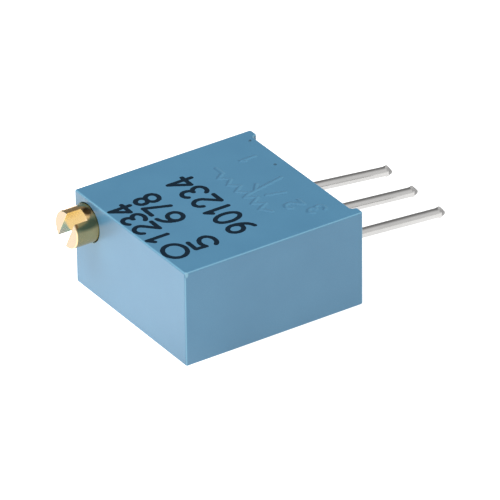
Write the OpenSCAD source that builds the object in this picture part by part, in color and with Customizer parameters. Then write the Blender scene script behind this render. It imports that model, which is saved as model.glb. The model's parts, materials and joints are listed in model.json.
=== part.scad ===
// Multi-turn trimmer potentiometer: a sealed square body with a worm drive inside.
// It lies on its back face. +X runs from the screw end to the terminals, +Y across the
// body towards the screw's side, +Z out of the marked face. The origin is the middle of
// the back face. Millimetres.

/* [Housing] */
// Width of the body across the terminals
body_w = 9.5; // [9.3:0.1:12]
// Length of the body from the screw end to the pin face
body_l = 9.7; // [9.5:0.1:12]
// Thickness from the back face to the marked face
body_t = 5.05; // [4.95:0.05:7]
// Thickness of the side, back and marked walls at the potted mouth
wall = 0.45; // [0.35:0.05:0.5]
// Radius on the outer edges
edge_r = 0.1; // [0.05:0.01:0.2]
// Height of the two feet past the pin face
foot_h = 0.3; // [0.2:0.05:0.8]
// Thickness of the feet across the body
foot_w = 0.56; // [0.35:0.01:0.6]
// Thickness of the end wall that the screw passes through
end_wall = 1.3; // [1.2:0.05:1.6]

/* [Adjusting screw] */
// Diameter of the screw's head and journals
screw_d = 1.92; // [1.8:0.01:2]
// Distance from the screw's axis to the near side face
screw_from_side = 1.14; // [1.14:0.01:1.6]
// Distance from the screw's axis to the marked face
screw_from_face = 1.285; // [1.28:0.005:1.6]
// Length of the head that stands out of the end wall
screw_out = 1.22; // [0.6:0.01:2]
// Width of the driver slot
slot_w = 0.7; // [0.5:0.01:0.74]
// Depth of the driver slot
slot_depth = 0.75; // [0.3:0.01:0.8]
// Turn of the driver slot from the body's width, seen from the terminals
slot_turn = -62; // [-180:0.5:180]
// Diameter of the O-ring's groove
ring_groove_d = 1.16; // [1:0.02:1.3]
// Diameter of the snap groove, which the rib in the bore drops into
snap_groove_d = 1.72; // [1.6:0.02:1.76]
// Running clearance all round the screw in its bore
screw_gap = 0.035; // [0.02:0.005:0.08]

/* [Worm drive] */
// Number of teeth on the rotor, and turns of the screw for one turn of it
teeth = 30; // [28:1:32]
// Module of the drive
gear_module = 0.19; // [0.18:0.005:0.195]
// Diameter over the worm's crests
worm_d = 1.9; // [1.8:0.01:1.92]
// Flank angle of the teeth
flank_angle = 20; // [14:1:25]
// Free play between the flanks, measured along the screw
backlash = 0.07; // [0.05:0.01:0.12]
// Width of the toothed rim
rim_w = 1.0; // [0.7:0.05:1.1]
// Diameter of the rotor's upper journal
journal_d = 1.6; // [1.2:0.05:2]
// Diameter of the rotor's lower pivot
pivot_d = 1.0; // [0.8:0.05:1.1]
// Running clearance all round the rotor's journals
rotor_gap = 0.03; // [0.02:0.005:0.08]

/* [Element] */
// Thickness of the alumina substrate
substrate_t = 0.65; // [0.5:0.05:0.8]
// Thickness that the printed films are drawn at
film_t = 0.04; // [0.03:0.01:0.06]
// Mean radius of the resistive track
track_r = 2.4; // [2.2:0.05:2.5]
// Width of the resistive track
track_w = 0.5; // [0.3:0.05:0.6]
// Mean radius of the collector ring
collector_r = 1.15; // [1.1:0.05:1.3]
// Width of the collector ring
collector_w = 0.45; // [0.3:0.05:0.5]
// Half of the angle left open between the track's ends
track_gap_angle = 20; // [16:1:24]

/* [Terminals] */
// Diameter of the terminal wire
lead_d = 0.5; // [0.4:0.02:0.6]
// Distance between neighbouring terminals
lead_pitch = 2.54; // [2.5:0.01:2.6]
// Height of the terminals' axes over the back face where they leave the body
lead_z = 2.49; // [2.4:0.01:2.7]
// Length of the middle terminal past the pin face
lead_out = 6.72; // [3:0.01:12]
// Extra length of the first terminal, taken off the third
lead_stagger = 0.12; // [0:0.01:0.3]
// How far the terminals lean towards the back face
lead_lean = 5.7; // [0:0.05:8]
// How far the outer terminals lean in towards the middle one
lead_toe = 1.7; // [0:0.1:2]

/* [Hidden] */
$fn = 64;
eps = 0.01;

// Body datums
x_end = -(body_l + foot_h) / 2;
x_pin = x_end + body_l;
x_foot = x_pin + foot_h;
x_in = x_end + end_wall;
fit_gap = 0.03;

// Screw, from its head inwards
screw_r = screw_d / 2;
bore_r = screw_r + screw_gap;
screw_y = body_w / 2 - screw_from_side;
screw_z = body_t - screw_from_face;
mouth_chamfer = 0.03;
head_chamfer = 0.05;
ring_x = x_end + 0.34;
ring_groove_w = 0.52;
ring_mid_r = (bore_r + ring_groove_d / 2) / 2;
ring_cord_r = (bore_r - ring_groove_d / 2) / 2 - 0.015;
rib_x = ring_x + ring_groove_w + 0.16;
rib_w = 0.2;
rib_r = snap_groove_d / 2 + screw_gap;
worm_x0 = x_in + 0.3;
tail_l = 0.35;
tail_r = 0.6;

// Worm and wheel
axial_pitch = PI * gear_module;
worm_tip_r = worm_d / 2;
worm_pitch_r = worm_tip_r - gear_module;
worm_root_r = worm_pitch_r - 1.25 * gear_module;
wheel_pitch_r = teeth * gear_module / 2;
wheel_tip_r = wheel_pitch_r + gear_module;
wheel_root_r = wheel_pitch_r - 1.25 * gear_module;
lead_angle = atan(axial_pitch / (2 * PI * worm_pitch_r));
rotor_y = screw_y - worm_pitch_r - wheel_pitch_r;
rim_gap = 0.16;

// Room for the wheel and for the wiper's arm to turn in
arm_y = 1.0;
arm_w = 0.35;
arm_reach = track_r + track_w / 2 + 0.1;
arm_gap = 0.12;
pocket_r = max(wheel_tip_r + rim_gap, norm([arm_reach, arm_y + arm_w]) + arm_gap);
rotor_x = x_in + pocket_r;
worm_turns = 2 * floor((rotor_x - worm_x0) / axial_pitch - 0.25) + 1;
worm_steps = 24;
worm_x1 = 2 * rotor_x - worm_x0;

// Stack, from the marked face down
rim_z0 = screw_z - rim_w / 2;
rim_z1 = screw_z + rim_w / 2;
pocket_z1 = rim_z1 + 0.13;
guide_z1 = body_t - wall;
journal_h = guide_z1 - rim_z1 - 0.06;
film_z = lead_z - lead_d / 2 - 0.02;
substrate_z1 = film_z - film_t;
substrate_z0 = substrate_z1 - substrate_t;
wiper_t = 0.08;
finger_w = 0.1;
stud_r = 0.15;
stud_at = 1.3;
stud_head = 0.1;
hub_z0 = film_z + 0.52;
hub_r = 1.75;
pivot_end_z = substrate_z0 + 0.1;

// Rotor pocket, substrate rails and the potted mouth
pad_w = 0.9;
pads_half = lead_pitch + pad_w / 2 + 0.1;
pocket_y0 = min(rotor_y - pocket_r, -pads_half);
pocket_y1 = max(rotor_y + pocket_r, pads_half);
mouth_half = body_w / 2 - max(wall, foot_w);
potting_l = 0.85;
potting_sunk = 0.12;
x_potting = x_pin - potting_sunk - potting_l;
substrate_x0 = x_in + 0.05;
substrate_x1 = x_potting - 0.05;
substrate_w = body_w - 2 * wall - 0.3;
pad_x0 = substrate_x1 - 0.95;
pad_x1 = substrate_x1 - 0.1;
// The horseshoe's open side faces the middle pad, and the wiper at rest looks the other way
element_turn = atan2(-rotor_y, pad_x0 - rotor_x);

// Terminals
lead_ys = [lead_pitch, 0, -lead_pitch];
lead_inner_x = pad_x0 + 0.15;
lead_bend_x = x_pin;
lead_bend_r = 2;
bend_overlap = 0.05;
bend_swell = 0.002;
glue_gap = 0.01;

// ---------------------------------------------------------------- shared shapes

// A cylinder that lies along X from x0, on the axis through y and z
module bar_x(x0, len, r, y = 0, z = 0) {
    translate([x0, y, z]) rotate([0, 90, 0]) cylinder(r = r, h = len);
}

// A box given by its low and high corners
module box(low, high) {
    translate(low) cube(high - low);
}

// A rectangle centred on the origin with round corners
module rounded_rect(size, r) {
    square([size.x - 2 * r, size.y], center = true);
    square([size.x, size.y - 2 * r], center = true);
    for (sx = [-1, 1], sy = [-1, 1])
        translate([sx * (size.x / 2 - r), sy * (size.y / 2 - r)]) circle(r = r);
}

// ---------------------------------------------------------------- housing

// The body seen from the marked face: a rounded plate with the notch between the feet, whose
// tips are rounded on the notch's side too
module body_plan() {
    notch_w = body_w - 2 * foot_w;
    difference() {
        rounded_rect([x_foot - x_end, body_w], edge_r);
        translate([x_pin + foot_h, 0]) rounded_rect([2 * foot_h, notch_w], edge_r);
        for (side = [-1, 1]) translate([x_foot - edge_r, side * (notch_w / 2 + edge_r)])
            rotate(side > 0 ? -90 : 0) difference() {
                square(edge_r + eps);
                circle(r = edge_r);
            }
    }
}

module body_block() {
    length = x_foot - x_end;
    intersection() {
        linear_extrude(body_t) body_plan();
        translate([x_end, 0, body_t / 2]) rotate([90, 0, 90])
            linear_extrude(length) rounded_rect([body_w, body_t], edge_r);
        translate([0, body_w / 2, body_t / 2]) rotate([90, 0, 0])
            linear_extrude(body_w) rounded_rect([length, body_t], edge_r);
    }
}

// The straight-pull core: pocket, worm channel, rails and the guide for the rotor's journal
module housing_cavity() {
    x_open = x_pin + edge_r + eps;
    box([x_in, pocket_y0, substrate_z1], [x_open, pocket_y1, pocket_z1]);
    box([x_in, -substrate_w / 2 - fit_gap, substrate_z0],
        [x_open, substrate_w / 2 + fit_gap, substrate_z1 + fit_gap]);
    box([x_in + 0.2, pocket_y0, wall], [x_open, pocket_y1, substrate_z0 + eps]);
    box([x_potting, -mouth_half, wall], [x_open, mouth_half, body_t - wall]);
    box([rotor_x, rotor_y - journal_d / 2 - rotor_gap, pocket_z1 - eps],
        [x_open, rotor_y + journal_d / 2 + rotor_gap, guide_z1]);
    translate([rotor_x, rotor_y, pocket_z1 - eps])
        cylinder(d = journal_d + 2 * rotor_gap, h = guide_z1 - pocket_z1 + eps);
}

// The screw's bore: chamfered mouth, snap rib, and the blind channel that the worm runs in
module screw_bore() {
    channel_x1 = worm_x1 + tail_l + 0.15;
    bar_x(x_end - eps, rib_x - x_end + eps, bore_r, screw_y, screw_z);
    bar_x(rib_x - eps, rib_w + 2 * eps, rib_r, screw_y, screw_z);
    bar_x(rib_x + rib_w, channel_x1 - rib_x - rib_w, bore_r, screw_y, screw_z);
    translate([x_end - eps, screw_y, screw_z]) rotate([0, 90, 0])
        cylinder(r1 = bore_r + mouth_chamfer + eps, r2 = bore_r, h = mouth_chamfer + eps);
}

module housing() {
    color("#5489ad") difference() {
        body_block();
        housing_cavity();
        screw_bore();
    }
}

// ---------------------------------------------------------------- adjusting screw

// Triangles from one corner of an outline to each of its other sides
function fan(corner, rest) = [for (i = [0:len(rest) - 2]) [corner, rest[i], rest[i + 1]]];

// The worm as one closed skin: a root cylinder with a right-hand thread that rises out of
// it over the first half turn and sinks back over the last. Helix lines run through every
// corner of the thread's profile, and a collar at each end brings them to a flat ring.
module worm_body(x0, x1) {
    n = worm_steps;
    steps = worm_turns * n;
    half_pitch_w = (axial_pitch / 2 - backlash) / 2;
    slope = tan(flank_angle);
    root_w = half_pitch_w + 1.25 * gear_module * slope;
    tip_w = half_pitch_w - gear_module * slope;
    profile = [[-root_w, 0], [-tip_w, 1], [tip_w, 1], [root_w, 0]];
    rise = function (k) min(1, k / (n / 2), (steps - k) / (n / 2));
    first_x = rotor_x - axial_pitch * worm_turns / 2;
    // The thread's crest passes the mesh point, on the rotor's side, half way along
    point = function (k, p)
        let (r = worm_root_r + (worm_tip_r - worm_root_r) * p[1] * rise(k),
             a = 180 + 360 * (k - steps / 2) / n)
        [first_x + axial_pitch * k / n + p[0], r * cos(a), r * sin(a)];
    skin = [for (k = [0:steps]) for (p = profile) point(k, p)];
    ring = function (x, k0)
        [for (k = [0:n - 1]) let (a = 180 + 360 * (k0 + k - steps / 2) / n)
            [x, worm_root_r * cos(a), worm_root_r * sin(a)]];
    start = len(skin);
    stop = start + n;
    points = concat(skin, ring(x0, 0), ring(x1, 0));
    id = function (k, j) 4 * k + j;
    strips = [for (k = [0:steps - 1]) for (j = [0:2])
        [id(k, j), id(k, j + 1), id(k + 1, j + 1), id(k + 1, j)]];
    roots = [for (k = [0:steps - n - 1])
        [id(k, 3), id(k + n, 0), id(k + n + 1, 0), id(k + 1, 3)]];
    collar0 = [for (k = [0:n - 2]) [start + k, id(k, 0), id(k + 1, 0), start + k + 1]];
    seam0 = fan(id(n - 1, 0), [id(n, 0), id(0, 3), id(0, 2), id(0, 1), id(0, 0), start, start + n - 1]);
    last = steps - n;
    collar1 = [for (k = [1:n - 1])
        [id(last + k, 3), stop + k, stop + (k + 1) % n, id(last + k + 1, 3)]];
    seam1 = fan(id(last + 1, 3), [id(last, 3), id(steps, 0), id(steps, 1), id(steps, 2), id(steps, 3),
                                  stop, stop + 1]);
    caps = [[for (k = [0:n - 1]) start + k], [for (k = [n - 1:-1:0]) stop + k]];
    translate([0, screw_y, screw_z])
        polyhedron(points, concat(strips, roots, collar0, seam0, collar1, seam1, caps));
}

module adjust_screw() {
    head_x = x_end - screw_out;
    color("#c9a45c") {
        difference() {
            translate([head_x, screw_y, screw_z]) rotate([0, 90, 0]) {
                cylinder(r1 = screw_r - head_chamfer, r2 = screw_r, h = head_chamfer);
                translate([0, 0, head_chamfer])
                    cylinder(r = screw_r, h = worm_x0 - head_x - head_chamfer + eps);
            }
            translate([head_x + slot_depth / 2 - eps, screw_y, screw_z]) rotate([slot_turn, 0, 0])
                cube([slot_depth + 2 * eps, 2 * screw_d, slot_w], center = true);
            groove(ring_x, ring_groove_w, ring_groove_d / 2);
            groove(rib_x - fit_gap, rib_w + 2 * fit_gap, snap_groove_d / 2);
        }
        worm_body(worm_x0, worm_x1);
        bar_x(worm_x1 - eps, tail_l, tail_r, screw_y, screw_z);
    }
}

// A square groove turned in the screw
module groove(x, w, r) {
    difference() {
        bar_x(x, w, screw_r + eps, screw_y, screw_z);
        bar_x(x - eps, w + 2 * eps, r, screw_y, screw_z);
    }
}

module o_ring() {
    color("#2b2b2e") translate([ring_x + ring_groove_w / 2, screw_y, screw_z]) rotate([0, 90, 0])
        rotate_extrude() translate([ring_mid_r, 0]) circle(r = ring_cord_r);
}

// ---------------------------------------------------------------- rotor

// One gash between two teeth: a straight trapezoid set over at the worm's lead angle
module tooth_gash() {
    low = -1.25 * gear_module;
    high = 2 * gear_module;
    half_w = function (v) axial_pitch / 4 + v * tan(flank_angle);
    length = 3 * rim_w;
    translate([0, wheel_pitch_r, screw_z]) rotate([0, -lead_angle, 0])
        translate([0, 0, -length / 2]) linear_extrude(length)
            polygon([[-half_w(low), low], [half_w(low), low],
                     [half_w(high), high], [-half_w(high), high]]);
}

module rotor() {
    color("#e8e4d8") translate([rotor_x, rotor_y, 0]) {
        difference() {
            translate([0, 0, rim_z0]) cylinder(r = wheel_tip_r, h = rim_w);
            for (i = [0:teeth - 1]) rotate([0, 0, 360 * i / teeth]) tooth_gash();
        }
        translate([0, 0, rim_z1 - eps]) cylinder(d = journal_d, h = journal_h + eps);
        translate([0, 0, hub_z0]) cylinder(r = hub_r, h = rim_z0 - hub_z0 + eps);
        translate([0, 0, pivot_end_z]) cylinder(d = pivot_d, h = hub_z0 - pivot_end_z + eps);
        rotate([0, 0, element_turn]) wiper_studs(stud_r);
    }
}

// Two studs on the hub's underside, melted over the wiper's plate
module wiper_studs(r) {
    length = stud_head + wiper_t;
    for (side = [-1, 1])
        translate([0, side * stud_at, hub_z0 - length]) cylinder(r = r, h = length + eps);
}

// One sprung finger: it runs towards -Y at radius x, down from the plate to the film,
// and ends in a round contact knuckle
module finger(x, y_root) {
    knuckle_r = 0.06;
    rest_z = film_z + knuckle_r + 0.01;
    root_z = hub_z0 - wiper_t;
    translate([x - finger_w / 2, 0, 0]) rotate([90, 0, 90]) linear_extrude(finger_w)
        polygon([[y_root + 0.05, root_z], [y_root + 0.05, root_z + wiper_t], [y_root, root_z + wiper_t],
                 [0, rest_z + knuckle_r * 0.8], [0, rest_z - knuckle_r * 0.3], [y_root, root_z]]);
    bar_x(x - finger_w / 2, finger_w, knuckle_r, 0, rest_z);
}

module wiper() {
    plate_in = pivot_d / 2 + 0.15;
    plate_out = hub_r - 0.1;
    track_fingers = 4;
    ring_fingers = 3;
    finger_x = function (mid, count, i) mid + (i - (count - 1) / 2) * (finger_w + 0.04);
    color("#d8bd7a") translate([rotor_x, rotor_y, 0]) rotate([0, 0, element_turn]) {
        difference() {
            translate([0, 0, hub_z0 - wiper_t]) linear_extrude(wiper_t) difference() {
                union() {
                    circle(r = plate_out);
                    translate([-arm_reach, arm_y]) square([track_r, arm_w]);
                }
                circle(r = plate_in);
                translate([collector_r - 0.3, -0.2]) square([0.6, arm_y + 0.05]);
            }
            wiper_studs(stud_r + 0.02);
        }
        for (i = [0:track_fingers - 1]) finger(finger_x(-track_r, track_fingers, i), arm_y);
        for (i = [0:ring_fingers - 1]) finger(finger_x(collector_r, ring_fingers, i), arm_y - 0.15);
    }
}

// ---------------------------------------------------------------- element

module substrate() {
    color("#eceae4") difference() {
        box([substrate_x0, -substrate_w / 2, substrate_z0], [substrate_x1, substrate_w / 2, substrate_z1]);
        translate([rotor_x, rotor_y, substrate_z0 - eps])
            cylinder(d = pivot_d + 2 * rotor_gap, h = substrate_t + 2 * eps);
    }
}

module film() {
    translate([0, 0, substrate_z1]) linear_extrude(film_t) children();
}

module resistive_track() {
    color("#30302f") translate([rotor_x, rotor_y, substrate_z1])
        rotate([0, 0, track_gap_angle + element_turn])
        rotate_extrude(angle = 360 - 2 * track_gap_angle)
            translate([track_r - track_w / 2, 0]) square([track_w, film_t]);
}

module collector_track() {
    lead_w = 0.3;
    color("#b9bcc0") film() {
        translate([rotor_x, rotor_y]) difference() {
            circle(r = collector_r + collector_w / 2);
            circle(r = collector_r - collector_w / 2);
        }
        polygon([[rotor_x + collector_r, rotor_y - lead_w / 2], [pad_x0 + eps, -lead_w / 2],
                 [pad_x0 + eps, lead_w / 2], [rotor_x + collector_r, rotor_y + lead_w / 2]]);
        translate([pad_x0, -pad_w / 2]) square([pad_x1 - pad_x0, pad_w]);
    }
}

// A conductor from one end of the track, round its outside, to an outer terminal's pad
module end_pad(side) {
    r0 = track_r - track_w / 2;
    r1 = track_r + track_w / 2;
    r2 = r1 + 0.25;
    turn = track_gap_angle - 8;
    at = function (r, a) [rotor_x + r * cos(side * a + element_turn),
                          rotor_y + r * sin(side * a + element_turn)];
    y_near = side * (lead_pitch - pad_w / 2);
    y_far = side * (lead_pitch + pad_w / 2);
    color("#b9bcc0") film()
        polygon([at(r0, track_gap_angle), at(r0, turn), at(r2, turn), [pad_x0 + 0.35, y_near],
                 [pad_x1, y_near], [pad_x1, y_far], [pad_x0, y_far],
                 at(r2, track_gap_angle), at(r1, track_gap_angle)]);
}

// ---------------------------------------------------------------- terminals

// A straight stretch on the pad and through the potting, a slight bend where the wire leaves
// the body, and the stretch that leans. The straight stretches run into the bend, whose wire
// is drawn a hair thicker so that no two surfaces coincide.
module terminal(i) {
    r = lead_d / 2;
    toe = sign(lead_ys[i]) * lead_toe;
    bend = norm([lead_lean, toe]);
    straight = lead_out + (1 - i) * lead_stagger - lead_bend_r * bend * PI / 180;
    color("#c8cacc") translate([lead_bend_x, lead_ys[i], lead_z]) {
        bar_x(lead_inner_x - lead_bend_x, lead_bend_x - lead_inner_x + bend_overlap, r);
        rotate([-atan2(toe, lead_lean), 0, 0]) {
            rotate([0, -90, -90]) translate([-lead_bend_r, 0])
                rotate_extrude(angle = bend) translate([lead_bend_r, 0]) circle(r = r + bend_swell);
            translate([0, 0, -lead_bend_r]) rotate([0, bend, 0])
                bar_x(-bend_overlap, straight + bend_overlap, r, 0, lead_bend_r);
        }
    }
}

// Room for terminal i's straight stretch, with a gap all round
module lead_room(i, gap) {
    bar_x(lead_inner_x - gap, body_l, lead_d / 2 + gap, lead_ys[i], lead_z);
}

module solder(i) {
    r = lead_d / 2 + 0.2;
    mid_z = film_z + 0.12;
    x1 = pad_x1 - 0.1;
    color("#aeb2b5") difference() {
        intersection() {
            union() {
                bar_x(lead_inner_x, x1 - lead_inner_x, r, lead_ys[i], mid_z);
                translate([lead_inner_x, lead_ys[i], mid_z]) sphere(r = r);
            }
            box([pad_x0, -body_w, film_z], [x_pin, body_w, body_t]);
        }
        lead_room(i, glue_gap);
    }
}

module potting() {
    half = mouth_half - glue_gap;
    color("#3f6f8e") difference() {
        box([x_potting, -half, wall + glue_gap], [x_pin - potting_sunk, half, body_t - wall - glue_gap]);
        for (i = [0:2]) lead_room(i, glue_gap);
    }
}

housing();
adjust_screw();
o_ring();
rotor();
wiper();
substrate();
resistive_track();
collector_track();
end_pad(1);  // end_pad_1
end_pad(-1);  // end_pad_3
terminal(0);  // terminal_1
terminal(1);  // terminal_2
terminal(2);  // terminal_3
solder(0);  // solder_1
solder(1);  // solder_2
solder(2);  // solder_3
potting();
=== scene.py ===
import json
import math

import bmesh
import bpy
import numpy as np
from mathutils import Matrix, Vector


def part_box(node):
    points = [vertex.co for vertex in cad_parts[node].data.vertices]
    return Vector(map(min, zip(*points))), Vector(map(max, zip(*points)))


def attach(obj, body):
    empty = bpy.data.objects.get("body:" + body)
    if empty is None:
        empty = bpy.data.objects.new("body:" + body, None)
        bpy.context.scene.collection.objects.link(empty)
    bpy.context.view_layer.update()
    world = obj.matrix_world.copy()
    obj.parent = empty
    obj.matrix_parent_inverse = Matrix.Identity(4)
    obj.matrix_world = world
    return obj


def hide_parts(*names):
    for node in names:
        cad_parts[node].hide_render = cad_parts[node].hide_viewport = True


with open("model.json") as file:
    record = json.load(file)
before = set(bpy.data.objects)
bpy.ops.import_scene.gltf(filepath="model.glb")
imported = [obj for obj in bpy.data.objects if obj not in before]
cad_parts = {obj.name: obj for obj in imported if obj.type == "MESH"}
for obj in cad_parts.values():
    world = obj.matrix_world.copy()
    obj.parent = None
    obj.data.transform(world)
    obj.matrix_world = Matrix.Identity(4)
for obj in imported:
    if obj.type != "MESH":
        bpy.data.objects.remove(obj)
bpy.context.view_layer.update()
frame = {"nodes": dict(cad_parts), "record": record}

# ---------------------------------------------------------------- substrate
# A plate of pressed and fired alumina, slightly off white, that carries the printed films.
# It slides into the housing's rails from the open end.

mm = 0.001


def new_material(name, metallic=0.0, ior=1.5):
    """A material, its node tree and its Principled shader."""
    material = bpy.data.materials.new(name)
    material.use_nodes = True
    tree = material.node_tree
    shader = tree.nodes["Principled BSDF"]
    shader.inputs["Metallic"].default_value = metallic
    shader.inputs["IOR"].default_value = ior
    return material, tree, shader


def effect(name, inputs, outputs):
    """An empty shader node group with named sockets: (group, its input node, its output node)."""
    group = bpy.data.node_groups.new(name, "ShaderNodeTree")
    for label, kind in inputs.items():
        group.interface.new_socket(label, in_out="INPUT", socket_type="NodeSocket" + kind)
    for label, kind in outputs.items():
        group.interface.new_socket(label, in_out="OUTPUT", socket_type="NodeSocket" + kind)
    return group, group.nodes.new("NodeGroupInput"), group.nodes.new("NodeGroupOutput")


def set_input(tree, socket, value):
    """Links value to the socket if it is a socket too, or else sets it."""
    if isinstance(value, bpy.types.NodeSocket):
        tree.links.new(value, socket)
    elif isinstance(value, tuple) and socket.type == "RGBA":
        socket.default_value = (*value, 1.0)
    else:
        socket.default_value = value


def noise_node(tree, vector, scale, detail=3.0, roughness=0.55):
    """A noise texture's value on a vector socket; scale is a number or a socket."""
    node = tree.nodes.new("ShaderNodeTexNoise")
    node.inputs["Detail"].default_value = detail
    node.inputs["Roughness"].default_value = roughness
    set_input(tree, node.inputs["Vector"], vector)
    set_input(tree, node.inputs["Scale"], scale)
    return node.outputs["Fac"]


def math_node(tree, operation, *values):
    """One Math node on numbers or sockets."""
    node = tree.nodes.new("ShaderNodeMath")
    node.operation = operation
    for socket, value in zip(node.inputs, values):
        set_input(tree, socket, value)
    return node.outputs[0]


def mix_colour(tree, amount, low, high):
    """A blend from colour low to colour high by a socket."""
    node = tree.nodes.new("ShaderNodeMix")
    node.data_type = "RGBA"
    set_input(tree, node.inputs["Factor"], amount)
    set_input(tree, node.inputs[6], low)
    set_input(tree, node.inputs[7], high)
    return node.outputs[2]


def spread(tree, value, low, high, start=0.0, end=1.0):
    """value, from start to end, laid out between low and high and held there."""
    node = tree.nodes.new("ShaderNodeMapRange")
    for label, number in (("From Min", start), ("From Max", end), ("To Min", low), ("To Max", high)):
        node.inputs[label].default_value = number
    tree.links.new(value, node.inputs["Value"])
    return node.outputs["Result"]


def place(tree, stretch=(1.0, 1.0, 1.0), shift=(0.0, 0.0, 0.0)):
    """The piece's own coordinates in metres, stretched along its axes and then shifted."""
    coords = tree.nodes.new("ShaderNodeTexCoord")
    mapping = tree.nodes.new("ShaderNodeMapping")
    mapping.inputs["Scale"].default_value = stretch
    mapping.inputs["Location"].default_value = shift
    tree.links.new(coords.outputs["Object"], mapping.inputs["Vector"])
    return mapping.outputs["Vector"]


def surface_effect():
    """The node group of two sizes of grain, for any fired, moulded, drawn or cast surface.

    Patches is the slow change over millimetres, Grain the fine one, Height both as relief."""
    group, given, result = effect("surface_grain", {"Vector": "Vector", "Patch Scale": "Float",
                                                    "Grain Scale": "Float", "Grain Share": "Float"},
                                  {"Patches": "Float", "Grain": "Float", "Height": "Float"})
    patches = noise_node(group, given.outputs["Vector"], given.outputs["Patch Scale"], 2.0)
    grain = noise_node(group, given.outputs["Vector"], given.outputs["Grain Scale"], 4.0, 0.6)
    grain_part = math_node(group, "MULTIPLY", grain, given.outputs["Grain Share"])
    group.links.new(patches, result.inputs["Patches"])
    group.links.new(grain, result.inputs["Grain"])
    group.links.new(math_node(group, "ADD", patches, grain_part), result.inputs["Height"])
    return group


surface_grain = surface_effect()


def grained(name, low, high, roughness, patch, grain, share, relief, metallic=0.0, ior=1.5,
            stretch=(1.0, 1.0, 1.0)):
    """A material whose colour, roughness and relief all follow the surface_grain effect.

    patch and grain are the sizes of the two grains and relief the bump's depth, in metres."""
    material, tree, shader = new_material(name, metallic, ior)
    group = tree.nodes.new("ShaderNodeGroup")
    group.node_tree = surface_grain
    tree.links.new(place(tree, stretch), group.inputs["Vector"])
    group.inputs["Patch Scale"].default_value = 1 / patch
    group.inputs["Grain Scale"].default_value = 1 / grain
    group.inputs["Grain Share"].default_value = share
    blend = math_node(tree, "MULTIPLY", group.outputs["Patches"], group.outputs["Grain"])
    colour = mix_colour(tree, spread(tree, blend, 0.0, 1.0, 0.05, 0.5), low, high)
    tree.links.new(colour, shader.inputs["Base Color"])
    tree.links.new(spread(tree, group.outputs["Grain"], *roughness), shader.inputs["Roughness"])
    bump = tree.nodes.new("ShaderNodeBump")
    bump.inputs["Distance"].default_value = relief
    tree.links.new(group.outputs["Height"], bump.inputs["Height"])
    tree.links.new(bump.outputs["Normal"], shader.inputs["Normal"])
    return material, tree, shader


def finish_node(name, material):
    """The CAD piece of that name gets this material."""
    mesh = frame["nodes"][name].data
    mesh.materials.clear()
    mesh.materials.append(material)


alumina = grained("alumina", (0.80, 0.79, 0.75), (0.90, 0.89, 0.87), (0.45, 0.6),
                  0.7 * mm, 0.03 * mm, 0.8, 0.004 * mm)[0]
finish_node("substrate", alumina)

# ---------------------------------------------------------------- printed films
# The resistive horseshoe is a black cermet ink, the ring and pads are silver-palladium ink.
# Both are screen printed on the substrate and fired.

cermet = grained("cermet_film", (0.012, 0.012, 0.013), (0.05, 0.05, 0.048), (0.25, 0.45),
                 0.3 * mm, 0.02 * mm, 0.6, 0.002 * mm)[0]
conductor = grained("conductor_film", (0.52, 0.52, 0.50), (0.74, 0.73, 0.70), (0.3, 0.5),
                    0.3 * mm, 0.02 * mm, 0.6, 0.002 * mm, metallic=1.0)[0]
finish_node("resistive_track", cermet)
for name in ("collector_track", "end_pad_1", "end_pad_3"):
    finish_node(name, conductor)

# ---------------------------------------------------------------- terminals
# Three round tinned copper wires. Each lies on its pad under a drop of solder, leaves through
# the potting, leans a little, and ends in the blunt chisel that side cutters leave.


def box_mm(name):
    """The corners of a CAD piece, in millimetres."""
    low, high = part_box(name)
    return Vector(low) / mm, Vector(high) / mm


def make_mesh(verts, faces):
    """A closed mesh with its faces turned outwards, in millimetres."""
    mesh = bpy.data.meshes.new("mesh")
    mesh.from_pydata([tuple(vert) for vert in verts], [], faces)
    work = bmesh.new()
    work.from_mesh(mesh)
    bmesh.ops.recalc_face_normals(work, faces=work.faces)
    work.to_mesh(mesh)
    work.free()
    return mesh


def skin(rings):
    """A closed mesh through rings of equally many points, with a flat cap on both ends."""
    count, around = len(rings), len(rings[0])
    faces = [(i * around + j, i * around + (j + 1) % around,
              (i + 1) * around + (j + 1) % around, (i + 1) * around + j)
             for i in range(count - 1) for j in range(around)]
    faces += [tuple(range(around)), tuple((count - 1) * around + j for j in range(around))]
    return make_mesh(np.reshape(rings, (-1, 3)), faces)


def add_piece(name, mesh, material, body, slot, *stands_for):
    """A new piece on a body, from a mesh in millimetres. Edges of over 30 degrees stay sharp."""
    mesh.name = name
    mesh.transform(Matrix.Scale(mm, 4))
    mesh.materials.clear()
    mesh.materials.append(material)
    mesh.shade_smooth()
    mesh.set_sharp_from_angle(angle=math.radians(30))
    piece = bpy.data.objects.new(name, mesh)
    bpy.context.scene.collection.objects.link(piece)
    piece.modifiers.new("normals", "WEIGHTED_NORMAL").keep_sharp = True
    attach(piece, body)
    if stands_for:
        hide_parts(*stands_for)
    return piece


def cropped_section(radius, to_end, slant):
    """One ring of the wire in its own plane, (across, up), at a distance from the cut end.

    The cutters' two jaws squeeze the wire into a wedge, push up a lip behind it, narrow it, and
    leave the edge a little above or below the middle by the slant."""
    to_end = max(to_end, 0.0)
    edge_half, jaw_slope = 0.06, 1.08
    lip_height, lip_place, lip_spread = 0.06, 0.23, 0.1
    edge_width, narrowed_from, bent_from = 0.6, 0.25, 0.3
    wedge = edge_half + jaw_slope * to_end
    lip = lip_height * math.exp(-((to_end - lip_place) / lip_spread) ** 2)
    width = radius * (edge_width + (1 - edge_width) * min(1.0, to_end / narrowed_from))
    offset = slant * max(0.0, bent_from - to_end)
    ring = []
    for angle in np.linspace(0, 2 * math.pi, 48, endpoint=False):
        up = (radius + lip * math.sin(angle) ** 2) * math.sin(angle)
        ring.append((width * math.cos(angle), max(-wedge, min(wedge, up)) + offset))
    return ring


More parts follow.
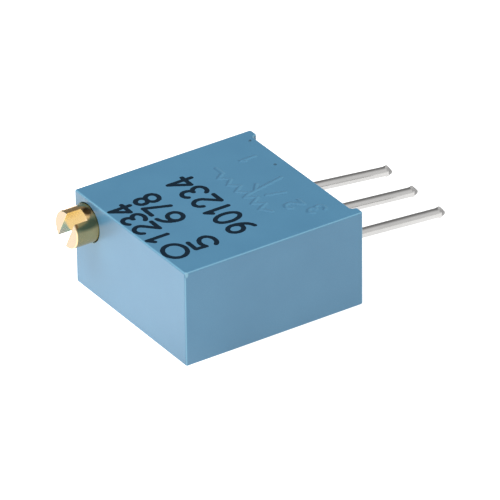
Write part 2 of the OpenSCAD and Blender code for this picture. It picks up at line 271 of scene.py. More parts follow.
def wire(mount, inner_x, slant, short):
    """The rings of one terminal: straight, a slight bend, then straight to a cut that is short."""
    bend_radius, cropped_length, inner_break, inner_share = 2.0, 0.46, 0.02, 0.85
    radius, length = mount["dims"]["r_mm"], mount["dims"]["length_mm"] - short
    lean = Vector(mount["axis"])
    start = Vector(mount["pos_m"]) / mm - lean * (length + short) / 2
    reach = bend_radius * math.tan(lean.angle(Vector((1, 0, 0))) / 2)
    corner = start - lean * reach
    leaves = corner - Vector((reach, 0, 0))
    stops = [Vector((inner_x + step, leaves.y, leaves.z)) for step in (0.0, inner_break)]
    stops += [leaves.lerp(corner, t).lerp(corner.lerp(start, t), t) for t in np.linspace(0, 1, 7)]
    stops += [start + lean * (length - left)
              for left in (2.0, 0.5, *np.linspace(cropped_length, 0.0, 24))]
    rings = []
    for k, stop in enumerate(stops):
        ahead = (stops[min(k + 1, len(stops) - 1)] - stops[max(k - 1, 0)]).normalized()
        side = Vector((0, 0, 1)).cross(ahead).normalized()
        up = ahead.cross(side)
        share = inner_share if k == 0 else 1.0
        section = cropped_section(radius, (stops[-1] - stop).length, slant)
        rings.append([stop + (side * a + up * b) * share for a, b in section])
    return rings


def second_finish(piece, material, chosen):
    """Faces of a piece for which chosen(centre in millimetres, normal) holds get this material."""
    piece.data.materials.append(material)
    for face in piece.data.polygons:
        face.material_index = int(chosen(face.center / mm, face.normal))


def cut_and_shaded_faces(tip, lean, reach=0.45):
    """A test for the faces near a wire's tip that get the darker finish: those facing forwards are the
    cutters' cut, and those facing up are painted shade.
    """
    def cut_and_shaded(at, facing):
        forward_or_up = facing.dot(lean) > 0.15 or facing.z > 0.45
        return (at - tip).length < reach and facing.z > -0.3 and forward_or_up
    return cut_and_shaded


def near_body(tree, from_x, to_x):
    """1 where a wire leaves the body, falling to 0 further out; both places are in metres."""
    split = tree.nodes.new("ShaderNodeSeparateXYZ")
    tree.links.new(place(tree), split.inputs["Vector"])
    return spread(tree, split.outputs["X"], 1.0, 0.0, from_x, to_x)


def tinted(tree, shader, amount, tint):
    """Where amount is 1, the shader's colour becomes the tint."""
    plain = shader.inputs["Base Color"].links[0].from_socket
    tree.links.new(mix_colour(tree, amount, plain, tint), shader.inputs["Base Color"])


tinned, tree, shader = grained("tinned_wire", (0.50, 0.495, 0.485), (0.62, 0.61, 0.60), (0.16, 0.30),
                               0.5 * mm, 0.05 * mm, 0.7, 0.0015 * mm, metallic=1.0,
                               stretch=(0.15, 1.0, 1.0))
body_end = box_mm("housing")[1].x
# The wires are tinted dark brown where they leave the body, fading out further along.
near_body_tint = near_body(tree, (body_end - 0.3) * mm, (body_end + 0.6) * mm)
tinted(tree, shader, math_node(tree, "MULTIPLY", near_body_tint, 0.7), (0.36, 0.27, 0.17))
cut_and_shaded_tip = grained("cut_end_and_shade", (0.34, 0.335, 0.33), (0.48, 0.475, 0.47), (0.7, 0.9),
                  0.1 * mm, 0.02 * mm, 0.6, 0.003 * mm, metallic=1.0, stretch=(1.0, 0.3, 1.0))[0]
solder = grained("solder", (0.55, 0.55, 0.56), (0.75, 0.75, 0.76), (0.12, 0.3),
                 0.4 * mm, 0.05 * mm, 0.4, 0.004 * mm, metallic=1.0)[0]
mounts = {mount["name"]: mount for mount in frame["record"]["mounts"]}
for number, slant, short in ((1, -0.1, 0.04), (2, 0.05, 0.06), (3, -0.05, 0.0)):
    name = f"terminal_{number}"
    rings = wire(mounts[name], box_mm(name)[0].x, slant, short)
    piece = add_piece(f"wire_{number}", skin(rings), tinned, "case", "tinned_wire", name)
    tip, lean = sum(rings[-1], Vector()) / len(rings[-1]), Vector(mounts[name]["axis"])
    # The darker finish at the tip: real cut faces, and up-facing faces darkened as painted shade.
    second_finish(piece, cut_and_shaded_tip, cut_and_shaded_faces(tip, lean))
    finish_node(f"solder_{number}", solder)

# ---------------------------------------------------------------- rotor and wiper
# The rotor is moulded in natural nylon, its rim cut as a worm wheel. The wiper is pressed from
# gilded spring strip and staked to the rotor's underside by two melted studs.

nylon = grained("natural_nylon", (0.62, 0.60, 0.52), (0.74, 0.72, 0.64), (0.35, 0.5),
                0.8 * mm, 0.04 * mm, 0.5, 0.002 * mm)[0]
contact_strip = grained("contact_strip", (0.60, 0.47, 0.22), (0.74, 0.60, 0.32), (0.2, 0.36),
                        0.4 * mm, 0.03 * mm, 0.5, 0.001 * mm, metallic=1.0)[0]
finish_node("rotor", nylon)
finish_node("wiper", contact_strip)

# ---------------------------------------------------------------- adjusting screw and O-ring
# Turned from brass rod in one piece: head, groove for the black silicone O-ring, snap groove,
# and the worm that drives the rotor. The slot is sawn across the head. The brass has tarnished
# where the saw ran out, and two more dark patches on the head are painted shade and a painted
# dark reflection.

head_radius, tail_radius, edge_break = 0.96, 0.6, 0.05
slot_depth, slot_width, slot_turn = 0.75, 0.7, math.radians(-62)
ring_groove = {"behind": 0.34, "wide": 0.52, "radius": 0.58}
snap_groove = {"behind": 0.99, "wide": 0.26, "radius": 0.86}
worm_module, worm_radius, worm_behind, tail_length = 0.19, 0.95, 1.6, 0.35


def carve(mesh, *cutters):
    """mesh with the cutters taken away, all in millimetres."""
    block = bpy.data.objects.new("block", mesh)
    tools = [bpy.data.objects.new("tool", cutter) for cutter in cutters]
    for thing in (block, *tools):
        bpy.context.scene.collection.objects.link(thing)
    for tool in tools:
        cut = block.modifiers.new("cut", "BOOLEAN")
        cut.operation, cut.solver, cut.object = "DIFFERENCE", "EXACT", tool
    graph = bpy.context.evaluated_depsgraph_get()
    carved = bpy.data.meshes.new_from_object(block.evaluated_get(graph))
    for thing in (block, *tools):
        bpy.data.objects.remove(thing)
    return carved


def turned(profile, y, z, around=96):
    """Rings round an axis along X: profile is [(x, radius)], or radii for each angle."""
    turn = np.linspace(0, 2 * math.pi, around, endpoint=False)
    return [np.stack([np.full(around, x), y + radius * np.cos(turn), z + radius * np.sin(turn)], 1)
            for x, radius in profile]


def threaded(x0, x1, root, tip, pitch, half_root, half_tip):
    """The profile of a worm: a right-hand thread that grows out over its first half turn."""
    turn = np.linspace(0, 2 * math.pi, 96, endpoint=False)
    mid_x = (x0 + x1) / 2
    half_length = pitch * (2 * math.floor((mid_x - x0) / pitch - 0.25) + 1) / 2
    profile = []
    for x in np.arange(x0, x1, pitch / 24):
        crest = ((x - mid_x) / pitch - turn / (2 * math.pi)) % 1.0 - 0.5
        away = np.abs(crest * pitch)
        inside = half_length - np.abs(x - crest * pitch - mid_x)
        rise = np.clip(inside / (pitch / 2), 0.0, 1.0)
        flank = np.clip((half_root - away) / (half_root - half_tip), 0.0, 1.0)
        profile.append((x, root + (tip - root) * flank * rise))
    return profile


def softened(corners, ease=0.01):
    """A profile with each of its corners cut back a little, as a fine file leaves them."""
    out = [corners[0]]
    for before, at, after in zip(corners, corners[1:], corners[2:]):
        for other, step in ((before, 2 * ease), (before, ease), (after, ease), (after, 2 * ease)):
            gap = math.dist(at, other)
            out.append(tuple(a + (o - a) * step / gap for a, o in zip(at, other)))
    return out + [corners[-1]]


def saw_cut(x, y, z):
    """What the saw takes out of the head: the slot, with its two edges broken by a fine file."""
    half, filed, past_head = slot_width / 2, 0.012, 1.5
    side_half = [(-0.02, half + 0.032), (filed, half), (slot_depth, half)]
    section = [(deep, -side) for deep, side in side_half] + side_half[::-1]
    along_y, along_z = math.cos(slot_turn), math.sin(slot_turn)
    return skin([[(x + deep, y - side * along_z + along * along_y, z + side * along_y + along * along_z)
                  for deep, side in section] for along in (-past_head, past_head)])


def screw_mesh(low, high, y, z):
    """The turned screw between its ends, on the axis at y and z, with the slot sawn out."""
    bore_end = box_mm("housing")[0].x
    worm_x, tail_x = bore_end + worm_behind, high.x - tail_length
    root, centre = worm_radius - 2.25 * worm_module, 0.02
    shank = [(low.x, centre), (low.x, head_radius - edge_break), (low.x + edge_break, head_radius)]
    for groove in (ring_groove, snap_groove):
        near, floor = bore_end + groove["behind"], groove["radius"]
        far = near + groove["wide"]
        shank += [(near, head_radius), (near, floor), (far, floor), (far, head_radius)]
    shank += [(worm_x, head_radius), (worm_x, root)]
    worm = threaded(worm_x, tail_x, root, worm_radius, pitch=math.pi * worm_module,
                    half_root=0.2, half_tip=0.045)
    tail = [(tail_x, root), (tail_x, tail_radius), (high.x, tail_radius), (high.x, centre)]
    profile = softened(shank) + worm[1:] + softened(tail)
    return carve(skin(turned(profile, y, z)), saw_cut(low.x, y, z))


def piece_normal(tree, axis):
    """How far the surface faces along one of the piece's own axes, either way, from 0 to 1."""
    coords = tree.nodes.new("ShaderNodeTexCoord")
    split = tree.nodes.new("ShaderNodeSeparateXYZ")
    tree.links.new(coords.outputs["Normal"], split.inputs["Vector"])
    return math_node(tree, "ABSOLUTE", split.outputs[axis])


def blot(tree, centre, reach):
    """1 round a place on the piece, fading to 0 at that reach along each axis, all in millimetres."""
    away = tree.nodes.new("ShaderNodeVectorMath")
    away.operation = "LENGTH"
    stretch = [1 / (side * mm) for side in reach]
    shift = [-at / side for at, side in zip(centre, reach)]
    tree.links.new(place(tree, stretch, shift), away.inputs[0])
    return spread(tree, away.outputs["Value"], 1.0, 0.0, 0.5, 1.0)


def on_barrel(behind, degrees):
    """A place on the head's round side: how far behind its face, and the angle round the axis."""
    turn = math.radians(degrees)
    return (screw_low.x + behind, axis_y + head_radius * math.cos(turn),
            axis_z + head_radius * math.sin(turn))


def sawn_or_faced(at, _):
    """Whether a face of the screw is in the slot or on the head's end."""
    inside = math.dist((at.y, at.z), (axis_y, axis_z)) < head_radius - 0.02
    return inside and at.x < screw_low.x + slot_depth + 0.01


hinge = next(joint for joint in frame["record"]["behaviour"]["joints"] if joint["name"] == "screw_turn")
axis_y, axis_z = (value / mm for value in hinge["pos_m"][1:])
screw_low, screw_high = box_mm("adjust_screw")
turned_brass, tree, shader = grained("turned_brass", (0.74, 0.48, 0.21), (0.84, 0.57, 0.27),
                                     (0.14, 0.26), 0.6 * mm, 0.03 * mm, 0.6, 0.0012 * mm,
                                     metallic=1.0, stretch=(1.0, 0.1, 0.1))
# Three dark patches on the head's round side: tarnish where the saw ran out (112 degrees), a painted
# dark reflection along the lower prong (150 degrees), and painted shade by that prong's rim just behind
# the face (146 degrees).
for behind, degrees, along, around, tarnish_and_shade in ((0.67, 150, 0.95, 0.36, (0.24, 0.21, 0.10)),
                                                (0.98, 112, 0.36, 0.34, (0.07, 0.045, 0.02)),
                                                (0.08, 146, 0.12, 0.20, (0.20, 0.11, 0.04))):
    patch = blot(tree, on_barrel(behind, degrees), (along, around, around))
    tinted(tree, shader, patch, tarnish_and_shade)
# Faces that look along the screw's axis are painted a darker brass: painted shade.
end_facing_shade = (0.42, 0.33, 0.225)
tinted(tree, shader, piece_normal(tree, 0), end_facing_shade)
sawn_brass, tree, shader = grained("sawn_brass", (0.92, 0.79, 0.43), (0.98, 0.85, 0.49),
                                   (0.16, 0.28), 0.6 * mm, 0.03 * mm, 0.6, 0.0012 * mm,
                                   metallic=1.0, stretch=(1.0, 0.1, 0.1))
# A warmer, brighter patch low in the slot: a painted reflection.
slot_reflection_spot = (screw_low.x + 0.12, axis_y + 0.66, axis_z - 0.5)
tinted(tree, shader, blot(tree, slot_reflection_spot, (0.4, 0.4, 0.45)), (1.0, 0.70, 0.43))
tinted(tree, shader, piece_normal(tree, 0), end_facing_shade)
silicone = grained("black_silicone", (0.01, 0.01, 0.011), (0.03, 0.03, 0.032), (0.4, 0.55),
                   0.4 * mm, 0.03 * mm, 0.5, 0.002 * mm)[0]
piece = add_piece("slotted_screw", screw_mesh(screw_low, screw_high, axis_y, axis_z), turned_brass,
                  "screw", "brass", "adjust_screw")
second_finish(piece, sawn_brass, sawn_or_faced)
finish_node("o_ring", silicone)

# ---------------------------------------------------------------- housing
# One moulding in blue thermoplastic with a satin skin: a box open towards the terminals, its
# two sides carried on as feet. A straight-pull core leaves the room for everything inside. The
# upright edge at the screw's end has a small nick near its top.

foot_height, foot_width, outer_edge, face_wall = 0.3, 0.56, 0.1, 0.45
nick_inside, nick_down = 0.02, 0.16
plate_gap, plate_end_gap, plate_ledge = 0.03, 0.05, 0.2
rotor_gap, roof_below_screw, guide_radius = 0.16, 0.30, 0.83
bore_radius, bore_end_gap, rib_radius, rib_from, rib_to = 0.995, 0.16, 0.895, 1.02, 1.22


def block_mesh(low, high):
    """A plain block between two opposite corners."""
    xs, ys, zs = zip(low, high)
    corners = [[(x, ys[0], zs[0]), (x, ys[1], zs[0]), (x, ys[1], zs[1]), (x, ys[0], zs[1])] for x in xs]
    return skin(corners)


def rounded(corners):
    """An outline through corners (x, y, radius), each radius turned as a quarter circle."""
    outline = []
    for before, corner, after in zip(corners[-1:] + corners[:-1], corners, corners[1:] + corners[:1]):
        at, radius = Vector(corner[:2]), corner[2]
        back, ahead = (Vector(before[:2]) - at).normalized(), (Vector(after[:2]) - at).normalized()
        for turn in np.radians(np.linspace(0, 90, 7)) if radius else (0.0,):
            outline.append(at + radius * (back * (1 - math.sin(turn)) + ahead * (1 - math.cos(turn))))
    return outline


def body_mesh(low, high):
    """The outside: a notched plate with a round edge all over, and feet with round roots."""
    inner_x, tip, root = high.x - foot_height, foot_height * 0.45, foot_height * 0.55
    foot = [(high.x, low.y, 1.4 * outer_edge), (high.x, low.y + foot_width, tip),
            (inner_x, low.y + foot_width, root)]
    half = [(low.x, low.y, 0.0)] + foot
    outline = rounded(half + [(x, -y, radius) for x, y, radius in reversed(half)])
    mesh = skin([[(*at, z) for at in outline] for z in (low.z, high.z)])
    work = bmesh.new()
    work.from_mesh(mesh)
    sharp = [line for line in work.edges if line.calc_face_angle() > 1.0]
    bmesh.ops.bevel(work, geom=sharp, offset=outer_edge, offset_type="OFFSET", segments=6,
                    profile=0.5, affect="EDGES", clamp_overlap=False)
    work.to_mesh(mesh)
    work.free()
    return mesh


def nick_mesh(x, y, z, reach=0.05, half_height=0.14):
    """A small upright lens, to be taken out of an edge."""
    turn = np.linspace(0, 2 * math.pi, 16, endpoint=False)
    return skin([[(x + reach * math.sin(tilt) * math.cos(a), y + reach * math.sin(tilt) * math.sin(a),
                   z + half_height * math.cos(tilt)) for a in turn]
                 for tilt in np.linspace(0.1, math.pi - 0.1, 9)])


def screw_bore(x, y, z, end_x):
    """The blind bore for the screw, with a chamfered mouth and the rib that snaps into its groove."""
    lap, chamfer = 0.01, 0.03
    profile = [(x - lap, bore_radius + chamfer + lap), (x + chamfer, bore_radius)]
    profile += [(x + rib_from, bore_radius), (x + rib_from, rib_radius)]
    profile += [(x + rib_to, rib_radius), (x + rib_to, bore_radius), (end_x, bore_radius)]
    return skin(turned(profile, y, z))


def housing_mesh(low, high):
    """The moulding with everything that its core and the nick take out of it."""
    plate_low, plate_high = box_mm("substrate")
    rotor_low, rotor_high = box_mm("rotor")
    rotor_x, rotor_y = (rotor_low.x + rotor_high.x) / 2, (rotor_low.y + rotor_high.y) / 2
    room = (rotor_high.y - rotor_low.y) / 2 + rotor_gap
    x_in, x_open = plate_low.x - plate_end_gap, high.x - outer_edge
    roof, ceiling, lap = screw_high.z - roof_below_screw, high.z - face_wall, 0.01
    half, mouth = plate_high.y + plate_gap, high.y - foot_width

    rotor_well = block_mesh((x_in, rotor_y - room, plate_high.z), (x_open, rotor_y + room, roof))
    plate_rails = block_mesh((x_in, -half, plate_low.z), (x_open, half, plate_high.z + plate_gap))
    behind_plate = block_mesh((x_in + plate_ledge, rotor_y - room, face_wall),
                              (x_open, rotor_y + room, plate_low.z + lap))
    potted_mouth = block_mesh((box_mm("potting")[0].x, -mouth, face_wall), (x_open, mouth, ceiling))
    journal_slot = block_mesh((rotor_x, rotor_y - guide_radius, roof - lap),
                              (x_open, rotor_y + guide_radius, ceiling))
    turn = np.linspace(0, 2 * math.pi, 96, endpoint=False)
    journal_seat = skin([[(rotor_x + guide_radius * math.cos(a), rotor_y + guide_radius * math.sin(a), z)
                          for a in turn] for z in (roof - lap, ceiling)])
    return carve(body_mesh(low, high), rotor_well, plate_rails, behind_plate, potted_mouth,
                 journal_slot, journal_seat,
                 screw_bore(low.x, axis_y, axis_z, screw_high.x + bore_end_gap),
                 nick_mesh(low.x + nick_inside, low.y + nick_inside, high.z - nick_down))


def painted_edge_highlight(tree, shader, highlight_colour):
    """The rounded edges get a paler colour than the flats: a painted highlight."""
    square_on = math_node(tree, "MAXIMUM", piece_normal(tree, 0),
                          math_node(tree, "MAXIMUM", piece_normal(tree, 1), piece_normal(tree, 2)))
    tinted(tree, shader, spread(tree, square_on, 1.0, 0.0, 0.72, 0.97), highlight_colour)


def moulded_blue(name):
    """The housing's blue plastic: satin, with a fine even grain."""
    return grained(name, (0.051, 0.164, 0.273), (0.064, 0.192, 0.306), (0.26, 0.36),
                   2.5 * mm, 0.06 * mm, 0.35, 0.002 * mm, ior=1.55)


housing_blue, tree, shader = moulded_blue("housing_plastic")
# Paler colour on the rounded edges: a painted highlight.
painted_edge_highlight(tree, shader, (0.14, 0.32, 0.43))
body_low, body_high = box_mm("housing")
# A paler spot round the nick near the top of the upright edge: a painted highlight.
nick_highlight = blot(tree, (body_low.x + 0.1, body_low.y, body_high.z - 0.11), (0.1, 0.12, 0.18))
tinted(tree, shader, nick_highlight, (0.17, 0.35, 0.45))
add_piece("shell", housing_mesh(body_low, body_high), housing_blue, "case", "housing_plastic", "housing")

# ---------------------------------------------------------------- potting
# Blue epoxy poured in at the open end over the terminals and cured there. It climbs a little
# up the walls and round the wires.


def potting_mesh(low, high, wires):
    """The plug, its outer face a fine grid. wires are (y, z, radius), and pass through it."""
    columns, rows, settled, ripple = 121, 61, 0.02, 0.006
    wall_climb, wall_reach, wire_climb, wire_reach, clear = 0.045, 0.12, 0.05, 0.1, 0.004
    ys, zs = np.linspace(low.y, high.y, columns), np.linspace(low.z, high.z, rows)
    y, z = np.meshgrid(ys, zs, indexing="ij")
    wall = np.minimum(np.minimum(y - low.y, high.y - y), np.minimum(z - low.z, high.z - z))
    climb = wall_climb * np.exp(-wall / wall_reach) + ripple * np.sin(1.3 * y + 0.7) * np.cos(1.9 * z)
    for wire_y, wire_z, radius in wires:
        away = np.maximum(np.hypot(y - wire_y, z - wire_z) - radius, 0.0)
        climb = np.maximum(climb, wire_climb * np.exp(-away / wire_reach))
    verts = [(high.x - settled + climb[i, j], ys[i], zs[j]) for i in range(columns) for j in range(rows)]
    last_column, last_row = columns - 1, rows - 1
    faces = [(i * rows + j, (i + 1) * rows + j, (i + 1) * rows + j + 1, i * rows + j + 1)
             for i in range(last_column) for j in range(last_row)]
    rim = [i * rows for i in range(last_column)]
    rim += [last_column * rows + j for j in range(last_row)]
    rim += [i * rows + last_row for i in range(last_column, 0, -1)]
    rim += list(range(last_row, 0, -1))
    back = {k: len(verts) + n for n, k in enumerate(rim)}
    verts += [(low.x, *verts[k][1:]) for k in rim]
    faces += [(a, b, back[b], back[a]) for a, b in zip(rim, rim[1:] + rim[:1])]
    faces.append(tuple(back[k] for k in rim))
    holes = [skin(turned([(x, radius + clear) for x in (low.x - 0.5, high.x + 0.5)], wire_y, wire_z, 48))
             for wire_y, wire_z, radius in wires]
    return carve(make_mesh(verts, faces), *holes)


epoxy = grained("epoxy", (0.04, 0.13, 0.22), (0.06, 0.17, 0.28), (0.1, 0.2),
                0.8 * mm, 0.05 * mm, 0.3, 0.006 * mm)[0]
pitch, wire_radius = 2.54, mounts["terminal_2"]["dims"]["r_mm"]
wire_z = box_mm("terminal_2")[1].z - wire_radius
wires = [((2 - number) * pitch, wire_z, wire_radius) for number in (1, 2, 3)]
add_piece("potting_skin", potting_mesh(*box_mm("potting"), wires), epoxy, "case", "epoxy", "potting")

# ---------------------------------------------------------------- marking
# Pad printed on the marked face in black ink: three rows of plain digits that read towards
# +Y. The ink lies a few thousandths of a millimetre proud, with soft, slightly ragged edges.


def arc(u, v, wide, high, start, end):
    """Points along part of an ellipse, from one angle to another in degrees."""
    turn = np.radians(np.linspace(start, end, max(4, int(abs(end - start) / 12))))
    return [(u + wide * math.cos(a), v + high * math.sin(a)) for a in turn]


def digit(number):
    """The pen strokes of a digit in a box one wide and one high."""
    return {
        0: [arc(0.5, 0.5, 0.5, 0.5, 0, 360)],
        1: [[(0.15, 0.78), (0.6, 1.0), (0.6, 0.0)]],
        2: [arc(0.5, 0.7, 0.47, 0.3, 165, -35) + [(0.03, 0.0), (1.0, 0.0)]],
        3: [arc(0.45, 0.75, 0.42, 0.25, 150, -80) + arc(0.45, 0.26, 0.52, 0.26, 80, -150)],
        4: [[(1.0, 0.28), (0.0, 0.28), (0.7, 1.0), (0.7, 0.0)]],
        5: [[(0.92, 1.0), (0.15, 1.0), (0.1, 0.56)] + arc(0.45, 0.32, 0.52, 0.32, 125, -150)],
        6: [arc(0.5, 0.3, 0.48, 0.3, 0, 360), arc(0.92, 0.3, 0.9, 0.7, 180, 95)],
        7: [[(0.0, 1.0), (1.0, 1.0), (0.35, 0.0)]],
        8: [arc(0.5, 0.76, 0.4, 0.24, 0, 360), arc(0.5, 0.26, 0.5, 0.26, 0, 360)],
        9: [arc(0.5, 0.7, 0.48, 0.3, 0, 360), arc(0.08, 0.7, 0.9, 0.7, 0, -85)],
    }[number]


def row(x_base, height, digits):
    """A row of digits as strokes on the marked face: digits is [(digit, from y, to y)]."""
    return [[(x_base - v * height, y0 + u * (y1 - y0)) for u, v in stroke]
            for number, y0, y1 in digits for stroke in digit(number)]


def nearest_stroke(x, y, strokes):
    """The distance from each point to the nearest of the strokes."""
    nearest = np.full(x.shape, np.inf)
    for stroke in strokes:
        for (ax, ay), (bx, by) in zip(stroke, stroke[1:]):
            dx, dy = bx - ax, by - ay
            along = np.clip(((x - ax) * dx + (y - ay) * dy) / (dx * dx + dy * dy), 0.0, 1.0)
            nearest = np.minimum(nearest, np.hypot(x - ax - along * dx, y - ay - along * dy))
    return nearest


def laid_mesh(strokes, half_width, proud, level, step=0.035, ragged=0.008):
    """Strokes as one thin closed skin on a level face, thickest in the middle of each stroke.

    A grid of that step is cut along the strokes' outline, whose edge is ragged by a little."""
    sunk = 0.003
    points = np.array([point for stroke in strokes for point in stroke])
    low, high = points.min(0) - half_width - 2 * step, points.max(0) + half_width + 2 * step
    xs, ys = (np.arange(a, b, step) for a, b in zip(low, high))
    x, y = np.meshgrid(xs, ys, indexing="ij")
    wobble = np.sin(23 * x + 3 * np.sin(11 * y)) * np.sin(19 * y + 2 * np.sin(13 * x))
    inside = half_width + ragged * wobble - nearest_stroke(x, y, strokes)
    inside = np.where(np.abs(inside) < 0.1 * step, np.copysign(0.1 * step, inside), inside)
    verts, top, under, faces = [], {}, {}, []

    def corner(cell, book, height):
        """The vertex over or under a grid point, made when first asked for."""
        if cell not in book:
            book[cell] = len(verts)
            verts.append((xs[cell[0]], ys[cell[1]], height))
        return book[cell]

    def crossing(a, b):
        """The vertex where the outline crosses the grid line between two points."""
        key = (min(a, b), max(a, b))
        if key not in top:
            share = inside[a] / (inside[a] - inside[b])
            top[key] = len(verts)
            verts.append((xs[a[0]] + (xs[b[0]] - xs[a[0]]) * share,
                          ys[a[1]] + (ys[b[1]] - ys[a[1]]) * share, level))
        return top[key]

    covered = inside > 0
    some = covered[:-1, :-1] | covered[1:, :-1] | covered[:-1, 1:] | covered[1:, 1:]
    for i, j in zip(*np.nonzero(some)):
        cell = [(i, j), (i + 1, j), (i + 1, j + 1), (i, j + 1)]
        upper, lower = [], []
        for a, b in zip(cell, cell[1:] + cell[:1]):
            if covered[a]:
                fill = math.sin(math.pi / 2 * min(1.0, inside[a] / half_width)) ** 2
                upper.append(corner(a, top, level + proud * fill))
                lower.append(corner(a, under, level - sunk))
            if covered[a] != covered[b]:
                upper.append(crossing(a, b))
                lower.append(upper[-1])
        faces += [tuple(upper), tuple(reversed(lower))]
    return make_mesh(verts, faces)


ink = grained("marking_ink", (0.001, 0.009, 0.018), (0.003, 0.013, 0.026), (0.5, 0.65),
              0.5 * mm, 0.04 * mm, 0.6, 0.002 * mm, ior=1.2)[0]
face_z = box_mm("housing")[1].z
print_rows = row(x_base=-3.68, height=1.13, digits=[
    (0, -3.38, -2.14), (1, -1.62, -1.0), (2, -0.62, 0.12), (3, 0.42, 1.14), (4, 1.42, 2.2)])
print_rows += row(x_base=-2.12, height=1.22, digits=[
    (5, -3.3, -2.4), (6, -0.5, 0.3), (7, 0.6, 1.35), (8, 1.6, 2.3)])
print_rows += row(x_base=0.12, height=1.3, digits=[
    (9, -3.0, -2.3), (0, -1.95, -1.2), (1, -0.95, -0.45), (2, -0.1, 0.6), (3, 0.95, 1.65),
    (4, 1.95, 2.75)])
printed = laid_mesh(print_rows, half_width=0.12, proud=0.008, level=face_z)
add_piece("marking", printed, ink, "case", "housing_plastic")

# ---------------------------------------------------------------- moulded signs
# Faint raised signs that the mould leaves beside the terminals: the terminals' numbers, and the
# circuit, a resistor with the middle terminal's line run up to it. One flank of each stroke has
# painted shade, and the other a painted highlight.


def along_direction(tree, vector, direction):
    """How far a vector socket reaches along a direction."""
    node = tree.nodes.new("ShaderNodeVectorMath")
    node.operation = "DOT_PRODUCT"
    node.inputs[1].default_value = Vector(direction).normalized()
    tree.links.new(vector, node.inputs[0])
    return node.outputs["Value"]


resistor = [(1.56, 2.55), (1.56, 2.0), (1.12, 1.7), (1.56, 1.31), (1.14, 0.92), (1.58, 0.52),
            (1.12, 0.2), (1.57, -0.25), (1.13, -0.5), (1.68, -0.8), (1.12, -1.18), (1.68, -1.5),
            (1.12, -1.8), (1.5, -2.3)]
middle_line, barb = [(1.35, -0.36), (3.62, 0.1)], [(2.3, 0.24), (1.9, -0.25)]
stroke_beside = [(2.1, -0.9), (3.0, -1.15)]
signs = [resistor, middle_line, barb, stroke_beside]
for x_base, height, placed_digit in ((3.72, 0.8, (1, 2.3, 2.62)), (3.1, 0.85, (2, -2.6, -2.1)),
                                     (3.75, 0.85, (3, -3.55, -3.05))):
    signs += row(x_base, height, [placed_digit])
sign_blue, tree, shader = moulded_blue("sign_plastic")
coords = tree.nodes.new("ShaderNodeTexCoord")
# Flanks facing one way are painted dark and those facing the other way pale: painted shade and a painted
# highlight.
lean = along_direction(tree, coords.outputs["Normal"], (-0.75, 0.65, 0.0))
tinted(tree, shader, spread(tree, lean, 0.0, 1.0, 0.03, 0.25), (0.039, 0.128, 0.22))
tinted(tree, shader, spread(tree, lean, 1.0, 0.0, -0.25, -0.03), (0.075, 0.213, 0.328))
raised = laid_mesh(signs, half_width=0.15, proud=0.03, level=face_z, step=0.03, ragged=0.004)
add_piece("moulded_signs", raised, sign_blue, "case", "housing_plastic")

# ---------------------------------------------------------------- specks
# Two specks of dark grit on the marked face, near the terminals' end. They are loose dirt that
# has stuck there, and no part of the moulding.

specks = [[(4.35, 3.84), (4.38, 3.87)], [(4.06, 1.29), (4.09, 1.26)]]
grit = grained("grit", (0.015, 0.06, 0.105), (0.03, 0.10, 0.16), (0.6, 0.8),
               0.1 * mm, 0.02 * mm, 0.6, 0.003 * mm)[0]
stuck = laid_mesh(specks, half_width=0.065, proud=0.06, level=face_z, step=0.012, ragged=0.012)
add_piece("specks", stuck, grit, "case", "housing_plastic")

# ---------------------------------------------------------------- studio
# A white light table for a floor, one large soft light from above the screw's end, and a room
# that is dimmer behind the part than in front of it.


def add_floor(half, level, glow):
    """A square, level light table that glows a little more on one side than on the other."""
    material, tree, shader = new_material("light_table")
    shader.inputs["Base Color"].default_value = (0.3, 0.3, 0.3, 1.0)
    shader.inputs["Roughness"].default_value = 0.9
    shader.inputs["Emission Color"].default_value = (1.0, 1.0, 1.0, 1.0)
    along = along_direction(tree, place(tree), (-0.9, 0.43, 0.0))
    brightens_over = 6 * mm
    strength = spread(tree, along, *glow, 0.0, brightens_over)
    tree.links.new(strength, shader.inputs["Emission Strength"])
    mesh = bpy.data.meshes.new("floor")
    corners = [(-half, -half, level), (half, -half, level), (half, half, level), (-half, half, level)]
    mesh.from_pydata(corners, [], [(0, 1, 2, 3)])
    mesh.materials.append(material)
    floor = bpy.data.objects.new("floor", mesh)
    bpy.context.scene.collection.objects.link(floor)


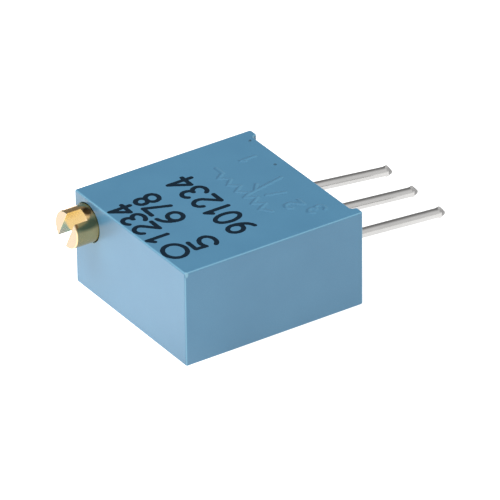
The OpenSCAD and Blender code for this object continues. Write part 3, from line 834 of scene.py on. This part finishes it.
def add_area_light(name, place_at, look_at, size, power):
    """A flat rectangular light turned towards a point."""
    light = bpy.data.lights.new(name, "AREA")
    light.shape = "RECTANGLE"
    light.size, light.size_y = size
    light.energy = power
    lamp = bpy.data.objects.new(name, light)
    lamp.location = place_at
    lamp.rotation_euler = (Vector(look_at) - Vector(place_at)).to_track_quat("-Z", "Y").to_euler()
    bpy.context.scene.collection.objects.link(lamp)


def add_room(dim, bright, bright_side, start, end):
    """Light from all round: dim on one side of the room, bright on the other."""
    world = bpy.data.worlds.new("studio")
    bpy.context.scene.world = world
    world.use_nodes = True
    tree = world.node_tree
    coords = tree.nodes.new("ShaderNodeTexCoord")
    along = along_direction(tree, coords.outputs["Generated"], bright_side)
    level = spread(tree, along, dim, bright, start, end)
    tree.links.new(level, tree.nodes["Background"].inputs["Strength"])
    tree.nodes["Background"].inputs["Color"].default_value = (1.0, 1.0, 1.0, 1.0)


def add_camera(position, right, down, forward, focal_over_sensor):
    """A camera at a place, from the directions of its right side, its lower side and its sight."""
    data = bpy.data.cameras.new("camera")
    data.sensor_width = 36.0
    data.lens = focal_over_sensor * data.sensor_width
    data.clip_start, data.clip_end = 0.01, 10.0
    camera = bpy.data.objects.new("camera", data)
    axes = Matrix((right, -down, -forward)).transposed()
    camera.matrix_world = Matrix.Translation(position) @ axes.to_4x4()
    bpy.context.scene.collection.objects.link(camera)
    bpy.context.scene.camera = camera


add_floor(half=2.0, level=-0.01 * mm, glow=(0.98, 1.79))
add_area_light("key", place_at=(-0.12, 0.05, 0.38), look_at=(0.0, 0.0, 0.0), size=(0.30, 0.30),
               power=1.46)
add_room(dim=0.25, bright=0.97, bright_side=(-0.3, -0.95, 0.0), start=-0.56, end=0.1)
add_camera(position=Vector((-156.018, -238.566, 170.668)) * mm,
           right=Vector((0.831135, -0.556004, -0.008968)),
           down=Vector((-0.289180, -0.418390, -0.861003)),
           forward=Vector((0.474959, 0.718205, -0.508526)), focal_over_sensor=14.041)
bpy.context.scene.view_settings.view_transform = "Standard"
